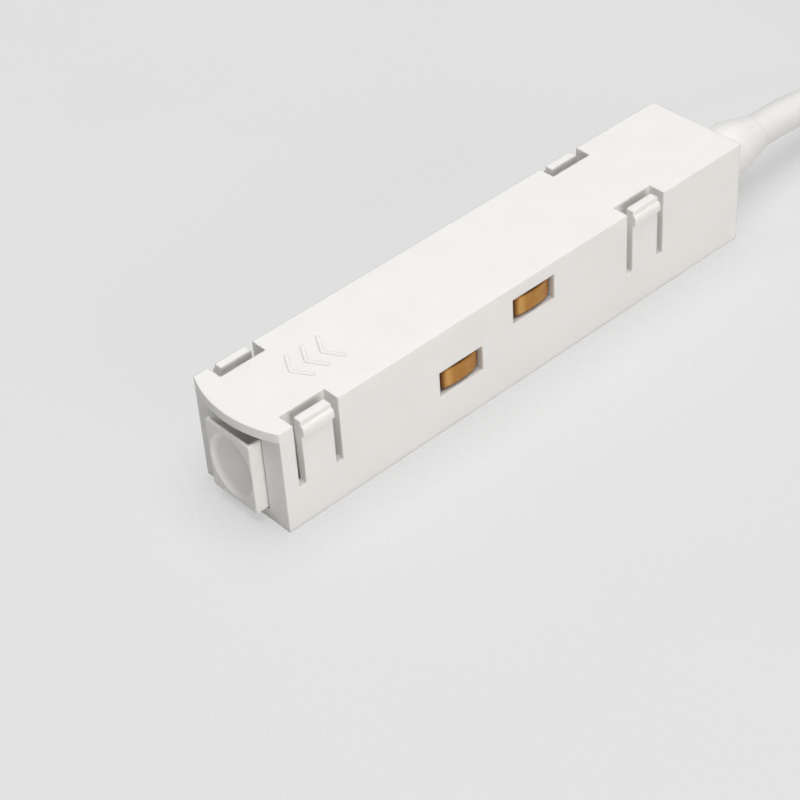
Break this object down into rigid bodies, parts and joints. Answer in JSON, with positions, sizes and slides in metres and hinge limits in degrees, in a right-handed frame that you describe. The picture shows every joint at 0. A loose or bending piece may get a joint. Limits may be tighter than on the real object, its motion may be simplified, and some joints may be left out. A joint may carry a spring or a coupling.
{
  "type": "track power feed",
  "caption": "White moulded feed for a slim lighting track: bowed top plate over a push button, barbed side tongues, sprung brass contacts in side windows and a round cable from a soft boot",
  "frame": {"origin": "middle of the housing's flat underside, halfway between its front and rear walls", "axes": "+Y from the release button to the cable, +Z from the underside to the plate with the latches, +X to the side that the picture shows"},
  "size_m": [0.0712, 0.3508, 0.0275],
  "materials": {
    "housing_shell": "fine moulded texture, satin",
    "base_cover": "fine moulded texture, satin",
    "release_button": "satin, smooth dish",
    "lock_slider": "smooth natural moulding",
    "return_spring": "bright spring wire",
    "contact_carrier": "smooth moulding",
    "contact_left_front": "drawn and tumbled",
    "contact_spring_left_front": "bright spring wire",
    "busbar_left_front": "stamped strip",
    "contact_left_rear": "drawn and tumbled",
    "contact_spring_left_rear": "bright spring wire",
    "busbar_left_rear": "stamped strip",
    "contact_right_front": "drawn and tumbled",
    "contact_spring_right_front": "bright spring wire",
    "busbar_right_front": "stamped strip",
    "contact_right_rear": "drawn and tumbled",
    "contact_spring_right_rear": "bright spring wire",
    "busbar_right_rear": "stamped strip",
    "core_left_front": "smooth insulation",
    "core_left_rear": "smooth insulation",
    "core_right_front": "smooth insulation",
    "core_right_rear": "smooth insulation",
    "carrier_screw_front_left": "zinc plated",
    "carrier_screw_front_right": "zinc plated",
    "carrier_screw_rear_left": "zinc plated",
    "carrier_screw_rear_right": "zinc plated",
    "clamp_screw_left": "zinc plated",
    "clamp_screw_right": "zinc plated",
    "cable_clamp": "smooth moulding",
    "strain_relief": "soft, matt",
    "cable": "smooth matt sheath",
    "cable_hank": "smooth matt sheath",
    "cable_tail": "smooth matt sheath",
    "hank_tie_left": "woven hook and loop tape",
    "hank_tie_right": "woven hook and loop tape",
    "end_core_1": "smooth insulation",
    "end_ferrule_1": "tinned copper",
    "end_core_2": "smooth insulation",
    "end_ferrule_2": "tinned copper",
    "end_core_3": "smooth insulation",
    "end_ferrule_3": "tinned copper",
    "end_core_4": "smooth insulation",
    "end_ferrule_4": "tinned copper"
  },
  "bodies": {
    "housing": {"housing_shell": "housing_shell", "base_cover": "base_cover", "return_spring": "return_spring", "contact_carrier": "contact_carrier", "contact_spring_left_front": "contact_spring_left_front", "busbar_left_front": "busbar_left_front", "contact_spring_left_rear": "contact_spring_left_rear", "busbar_left_rear": "busbar_left_rear", "contact_spring_right_front": "contact_spring_right_front", "busbar_right_front": "busbar_right_front", "contact_spring_right_rear": "contact_spring_right_rear", "busbar_right_rear": "busbar_right_rear", "core_left_front": "core_left_front", "core_left_rear": "core_left_rear", "core_right_front": "core_right_front", "core_right_rear": "core_right_rear", "carrier_screw_front_left": "carrier_screw_front_left", "carrier_screw_front_right": "carrier_screw_front_right", "carrier_screw_rear_left": "carrier_screw_rear_left", "carrier_screw_rear_right": "carrier_screw_rear_right", "clamp_screw_left": "clamp_screw_left", "clamp_screw_right": "clamp_screw_right", "cable_clamp": "cable_clamp", "strain_relief": "strain_relief", "cable": "cable", "cable_hank": "cable_hank", "cable_tail": "cable_tail", "hank_tie_left": "hank_tie_left", "hank_tie_right": "hank_tie_right", "end_core_1": "end_core_1", "end_ferrule_1": "end_ferrule_1", "end_core_2": "end_core_2", "end_ferrule_2": "end_ferrule_2", "end_core_3": "end_core_3", "end_ferrule_3": "end_ferrule_3", "end_core_4": "end_core_4", "end_ferrule_4": "end_ferrule_4"},
    "release": {"release_button": "release_button", "lock_slider": "lock_slider"},
    "contact_left_front": {"contact_left_front": "contact_left_front"},
    "contact_left_rear": {"contact_left_rear": "contact_left_rear"},
    "contact_right_front": {"contact_right_front": "contact_right_front"},
    "contact_right_rear": {"contact_right_rear": "contact_right_rear"}
  },
  "joints": [
    {"name": "release_slide", "type": "slide", "parent": "housing", "child": "release", "axis": [0, 1, 0], "range_m": [0, 0.0027], "stiffness_N_per_m": 300, "springref_m": -0.004, "deforming": ["return_spring"]},
    {"name": "contact_slide_left_front", "type": "slide", "parent": "housing", "child": "contact_left_front", "axis": [1, 0, 0], "range_m": [0, 0.0012], "stiffness_N_per_m": 400, "springref_m": -0.001, "deforming": ["contact_spring_left_front"]},
    {"name": "contact_slide_left_rear", "type": "slide", "parent": "housing", "child": "contact_left_rear", "axis": [1, 0, 0], "range_m": [0, 0.0012], "stiffness_N_per_m": 400, "springref_m": -0.001, "deforming": ["contact_spring_left_rear"]},
    {"name": "contact_slide_right_front", "type": "slide", "parent": "housing", "child": "contact_right_front", "axis": [-1, 0, 0], "range_m": [0, 0.0012], "stiffness_N_per_m": 400, "springref_m": -0.001, "deforming": ["contact_spring_right_front"]},
    {"name": "contact_slide_right_rear", "type": "slide", "parent": "housing", "child": "contact_right_rear", "axis": [-1, 0, 0], "range_m": [0, 0.0012], "stiffness_N_per_m": 400, "springref_m": -0.001, "deforming": ["contact_spring_right_rear"]}
  ]
}
